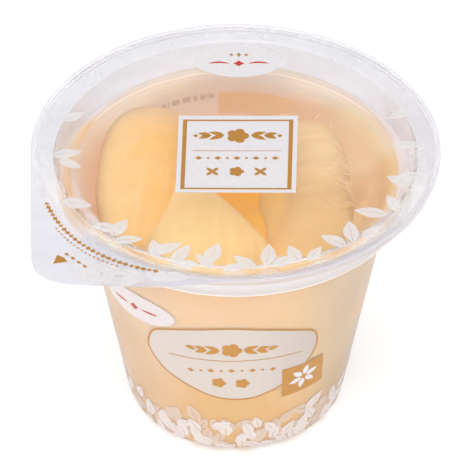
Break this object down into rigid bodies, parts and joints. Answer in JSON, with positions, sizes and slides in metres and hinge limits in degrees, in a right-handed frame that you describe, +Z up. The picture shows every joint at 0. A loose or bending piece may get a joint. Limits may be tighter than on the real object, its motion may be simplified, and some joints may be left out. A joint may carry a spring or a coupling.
{
  "type": "cup of fruit jelly",
  "caption": "Sealed tapered clear plastic cup of pale peach jelly with fruit pieces, closed by a clear printed film lid with a corner pull tab.",
  "frame": {"origin": "centre of the cup's base, on its underside", "axes": "+Z up along the cup's axis, -Y towards the printed front, the pull tab at the corner towards -X and -Y"},
  "size_m": [0.103, 0.1051, 0.079],
  "materials": {
    "clear_cup": "thin clear plastic cup, slightly milky, glossy, with white leaf sprays, a gold-edged white panel and a gold seal printed on it",
    "jelly": "pale peach jelly, clear from above and hazy from the side, with pieces of peach sunk in it",
    "lid_film": "thin clear glossy film with white leaf sprays, a white panel in a gold frame and small gold marks printed on it",
    "peach": "moist yellow peach flesh, smooth where cut by the syrup, fibrous where it was torn from the stone",
    "print_white": "opaque white printing ink on clear plastic",
    "print_gold": "gold printing ink, satin"
  },
  "bodies": {
    "root": {"cup": "clear_cup", "jelly": "jelly", "lid_film": "lid_film"}
  },
  "joints": []
}
